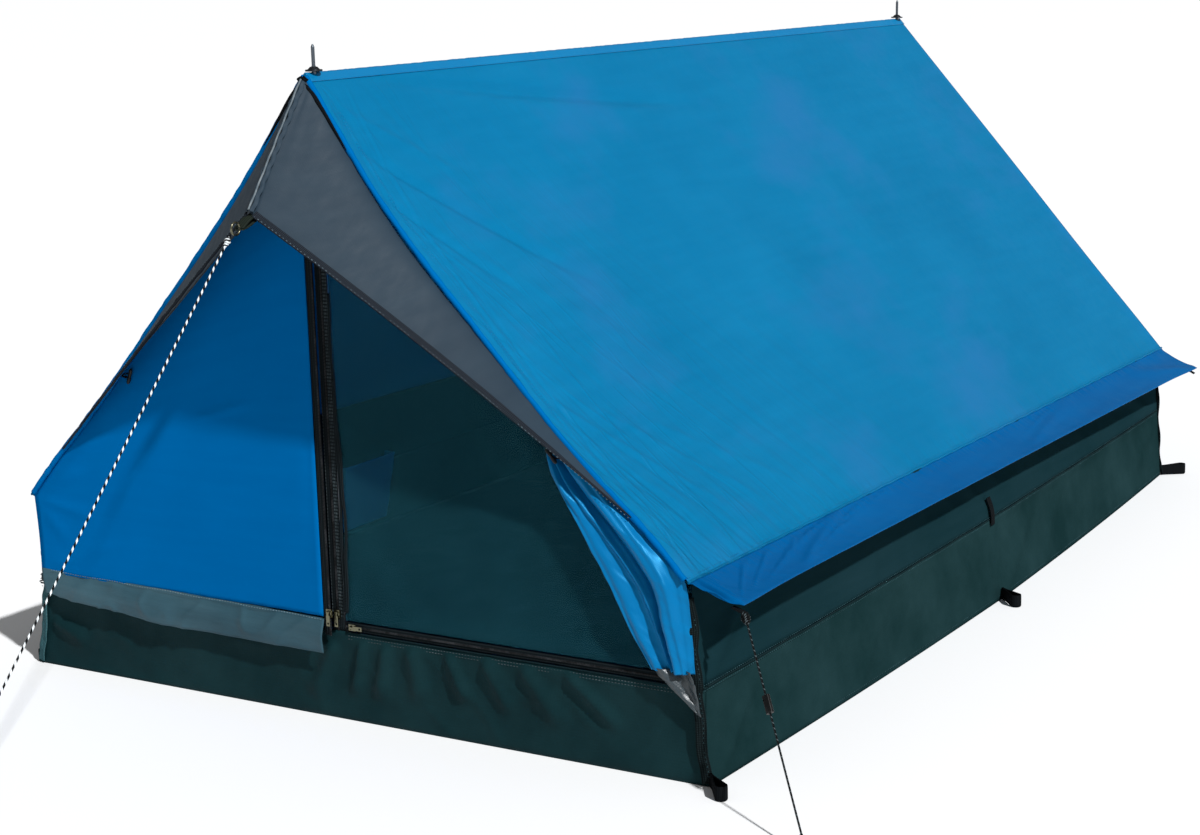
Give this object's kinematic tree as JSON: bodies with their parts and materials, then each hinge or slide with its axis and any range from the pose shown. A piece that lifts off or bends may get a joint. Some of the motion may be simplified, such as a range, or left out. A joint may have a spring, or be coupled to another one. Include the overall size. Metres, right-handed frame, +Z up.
{
  "type": "a-frame tent",
  "caption": "Two-person single-wall ridge tent with a beak over a zipped mesh door, tub floor, eave flaps, upright poles and guy cords.",
  "frame": {"origin": "middle of the groundsheet's underside", "axes": "+X to the right seen from the door, +Y from the door to the rear, +Z up"},
  "size_m": [1.4921, 2.8704, 0.9613],
  "materials": {
    "roof_fabric": "coated polyester taffeta, satin",
    "door_fabric": "coated polyester taffeta, satin",
    "beak_fabric": "coated polyester taffeta, slate grey",
    "flap_fabric": "coated polyester, blue grey",
    "tub_fabric": "coated polyethylene weave, dark green grey",
    "strip_fabric": "coated polyester, dark blue grey",
    "mesh_fabric": "mosquito netting, black",
    "zip_tape": "woven zip tape, black",
    "zip_metal": "dark nickel",
    "seam_tape": "woven binding tape, charcoal",
    "webbing": "polypropylene webbing, black",
    "pole_steel": "galvanised steel tube",
    "washer_metal": "dark steel",
    "foot_rubber": "black rubber",
    "toggle_plastic": "black nylon",
    "guy_cord": "black braid with a light tracer"
  },
  "bodies": {
    "root": {"beak_guy": "guy_cord", "beak_panel_left": "beak_fabric", "beak_panel_right": "beak_fabric", "beak_ring": "washer_metal", "beak_seams": "seam_tape", "beak_tip_tab": "webbing", "corner_bindings": "seam_tape", "corner_guy": "guy_cord", "door_strip_left": "door_fabric", "eave_flap_left": "roof_fabric", "eave_flap_right": "roof_fabric", "eave_tabs": "webbing", "front_pole_lower": "pole_steel", "front_pole_middle": "pole_steel", "front_pole_upper": "pole_steel", "groundsheet": "tub_fabric", "guy_loops": "guy_cord", "mesh_strips": "mesh_fabric", "mesh_zips": "zip_tape", "peg_loops": "webbing", "pole_feet": "foot_rubber", "pole_spikes": "pole_steel", "rear_gable": "roof_fabric", "rear_pole_lower": "pole_steel", "rear_pole_middle": "pole_steel", "rear_pole_upper": "pole_steel", "ridge_tape": "roof_fabric", "ridge_washers": "washer_metal", "roof_edge_binding": "roof_fabric", "roof_panel_left": "roof_fabric", "roof_panel_right": "roof_fabric", "side_strip_left": "strip_fabric", "side_strip_right": "strip_fabric", "storage_pocket": "door_fabric", "tie_straps": "webbing", "tie_toggles": "toggle_plastic", "tied_door_right": "door_fabric", "tied_flap_right": "flap_fabric", "tub_wall_front": "tub_fabric", "tub_wall_left": "tub_fabric", "tub_wall_rear": "tub_fabric", "tub_wall_right": "tub_fabric", "vent_mesh": "mesh_fabric"},
    "door_left": {"door_leaf_left": "door_fabric", "door_flap_left": "flap_fabric", "door_zip_left": "zip_tape"},
    "mesh_door_right": {"mesh_leaf_right": "mesh_fabric"},
    "mesh_door_left": {"mesh_leaf_left": "mesh_fabric"},
    "vent_cover": {"vent_cover": "roof_fabric"},
    "slider_centre": {"slider_centre": "zip_metal"},
    "pull_tab_centre": {"pull_tab_centre": "zip_metal"},
    "slider_sill_right": {"slider_sill_right": "zip_metal"},
    "pull_tab_sill_right": {"pull_tab_sill_right": "zip_metal"},
    "slider_sill_left": {"slider_sill_left": "zip_metal"},
    "pull_tab_sill_left": {"pull_tab_sill_left": "zip_metal"},
    "slider_door": {"slider_door": "zip_metal"},
    "pull_tab_door": {"pull_tab_door": "zip_metal"},
    "beak_guy_tensioner": {"beak_guy_tensioner": "toggle_plastic"},
    "corner_guy_tensioner": {"corner_guy_tensioner": "toggle_plastic"}
  },
  "joints": [
    {"name": "door_left_swing", "type": "hinge", "parent": "root", "child": "door_left", "pos_m": [-0.58529, -0.98175, 0.153], "axis": [-0.6195, 0, -0.785], "range_deg": [0, 45]},
    {"name": "mesh_right_swing", "type": "hinge", "parent": "root", "child": "mesh_door_right", "pos_m": [0.58561, -0.974, 0.149], "axis": [0.6163, 0, -0.7875], "range_deg": [0, 85]},
    {"name": "mesh_left_swing", "type": "hinge", "parent": "root", "child": "mesh_door_left", "pos_m": [-0.58561, -0.974, 0.149], "axis": [0.6163, 0, 0.7875], "range_deg": [0, 85]},
    {"name": "vent_cover_lift", "type": "hinge", "parent": "root", "child": "vent_cover", "pos_m": [0, 1.02077, 0.75762], "axis": [1, 0, 0], "range_deg": [0, 80]},
    {"name": "slider_centre_run", "type": "slide", "parent": "root", "child": "slider_centre", "axis": [0, 0, 1], "range_m": [0, 0.7]},
    {"name": "slider_sill_right_run", "type": "slide", "parent": "root", "child": "slider_sill_right", "axis": [1, 0, 0], "range_m": [0, 0.4]},
    {"name": "slider_sill_left_run", "type": "slide", "parent": "root", "child": "slider_sill_left", "axis": [-1, 0, 0], "range_m": [0, 0.53]},
    {"name": "slider_door_run", "type": "slide", "parent": "door_left", "child": "slider_door", "axis": [0, 0, 1], "range_m": [0, 0.66]},
    {"name": "pull_tab_centre_turn", "type": "hinge", "parent": "slider_centre", "child": "pull_tab_centre", "pos_m": [0, -0.9791, 0.1595], "axis": [-1, 0, 0], "range_deg": [0, 150]},
    {"name": "pull_tab_sill_right_turn", "type": "hinge", "parent": "slider_sill_right", "child": "pull_tab_sill_right", "pos_m": [0.0235, -0.9791, 0.14], "axis": [0, 0, -1], "range_deg": [0, 150]},
    {"name": "pull_tab_sill_left_turn", "type": "hinge", "parent": "slider_sill_left", "child": "pull_tab_sill_left", "pos_m": [-0.0235, -0.9679, 0.14], "axis": [0, 0, -1], "range_deg": [0, 150]},
    {"name": "pull_tab_door_turn", "type": "hinge", "parent": "slider_door", "child": "pull_tab_door", "pos_m": [-0.0085, -0.9871, 0.1615], "axis": [-1, 0, 0], "range_deg": [0, 150]},
    {"name": "beak_guy_tensioner_run", "type": "slide", "parent": "root", "child": "beak_guy_tensioner", "axis": [0, -0.6876, -0.7261], "range_m": [-0.35, 0.1]},
    {"name": "corner_guy_tensioner_run", "type": "slide", "parent": "root", "child": "corner_guy_tensioner", "axis": [0.4765, -0.4401, -0.7611], "range_m": [-0.09, 0.13]}
  ]
}
